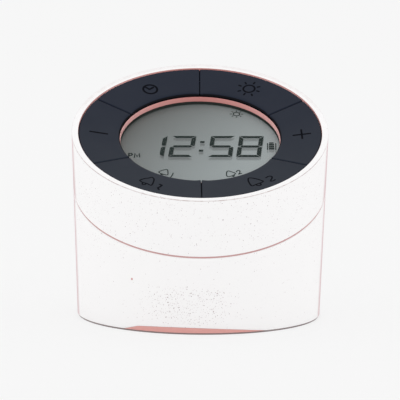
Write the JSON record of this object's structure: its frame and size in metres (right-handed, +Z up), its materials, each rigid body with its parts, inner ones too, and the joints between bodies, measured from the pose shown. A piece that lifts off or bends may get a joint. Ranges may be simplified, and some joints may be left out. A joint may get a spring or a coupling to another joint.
{
  "type": "digital alarm clock",
  "caption": "Round table alarm clock with a sloping top: a recessed display in a ring of key segments, white shells with rose trim.",
  "frame": {"origin": "centre of the foot pad's underside, on the table, on the axis of the round body", "axes": "+Z up along the body's axis; -Y towards the low front of the sloping top, where the user stands; +X to the user's right"},
  "size_m": [0.1, 0.1001, 0.0937],
  "materials": {
    "body_white": "soft matte, fine speckle",
    "rose_trim": "satin pearl",
    "key_slate": "satin",
    "black_plastic": "matte",
    "foam_black": "matte",
    "foot_rubber": "matte",
    "clear_window": "clear",
    "lcd_grey": "satin",
    "milky_plastic": "satin",
    "board_green": "solder mask",
    "screw_steel": "zinc plated",
    "cell_blue": "shrink sleeve",
    "lead_red": "wire insulation"
  },
  "bodies": {
    "housing": {"lower_housing": "body_white", "upper_housing": "body_white", "seam_ring": "rose_trim", "rim_liner": "rose_trim", "base_cover": "rose_trim", "foot_pad": "foot_rubber", "switch_bodies": "black_plastic", "main_board": "board_green", "board_chips": "black_plastic", "display_bezel": "rose_trim", "display_gasket": "foam_black", "display_lens": "clear_window", "lcd_panel": "lcd_grey", "light_guide": "milky_plastic", "backlight_leds": "milky_plastic", "display_holder": "milky_plastic", "lcd_connector": "foam_black", "deck_screws": "screw_steel", "board_screws": "screw_steel", "housing_screws": "screw_steel", "base_screws": "screw_steel", "speaker": "black_plastic", "battery_cell": "cell_blue", "battery_cradle": "black_plastic", "battery_contacts": "screw_steel", "battery_leads": "foam_black", "charge_board": "board_green", "charge_board_screws": "screw_steel", "charge_socket": "screw_steel", "board_lead": "lead_red", "speaker_lead": "lead_red", "key_deck": "black_plastic"},
    "clock_key": {"key_clock": "key_slate", "switch_plunger_clock": "black_plastic"},
    "light_key": {"key_light": "key_slate", "switch_plunger_light": "black_plastic"},
    "plus_key": {"key_plus": "key_slate", "switch_plunger_plus": "black_plastic"},
    "alarm_2_key": {"key_alarm_2": "key_slate", "switch_plunger_alarm_2": "black_plastic"},
    "alarm_1_key": {"key_alarm_1": "key_slate", "switch_plunger_alarm_1": "black_plastic"},
    "minus_key": {"key_minus": "key_slate", "switch_plunger_minus": "black_plastic"}
  },
  "joints": [
    {"name": "clock_key_press", "type": "slide", "parent": "housing", "child": "clock_key", "axis": [0, 0.3907, -0.9205], "range_m": [0, 0.0004], "stiffness_N_per_m": 800},
    {"name": "light_key_press", "type": "slide", "parent": "housing", "child": "light_key", "axis": [0, 0.3907, -0.9205], "range_m": [0, 0.0004], "stiffness_N_per_m": 800},
    {"name": "plus_key_press", "type": "slide", "parent": "housing", "child": "plus_key", "axis": [0, 0.3907, -0.9205], "range_m": [0, 0.0004], "stiffness_N_per_m": 800},
    {"name": "alarm_2_key_press", "type": "slide", "parent": "housing", "child": "alarm_2_key", "axis": [0, 0.3907, -0.9205], "range_m": [0, 0.0004], "stiffness_N_per_m": 800},
    {"name": "alarm_1_key_press", "type": "slide", "parent": "housing", "child": "alarm_1_key", "axis": [0, 0.3907, -0.9205], "range_m": [0, 0.0004], "stiffness_N_per_m": 800},
    {"name": "minus_key_press", "type": "slide", "parent": "housing", "child": "minus_key", "axis": [0, 0.3907, -0.9205], "range_m": [0, 0.0004], "stiffness_N_per_m": 800}
  ]
}
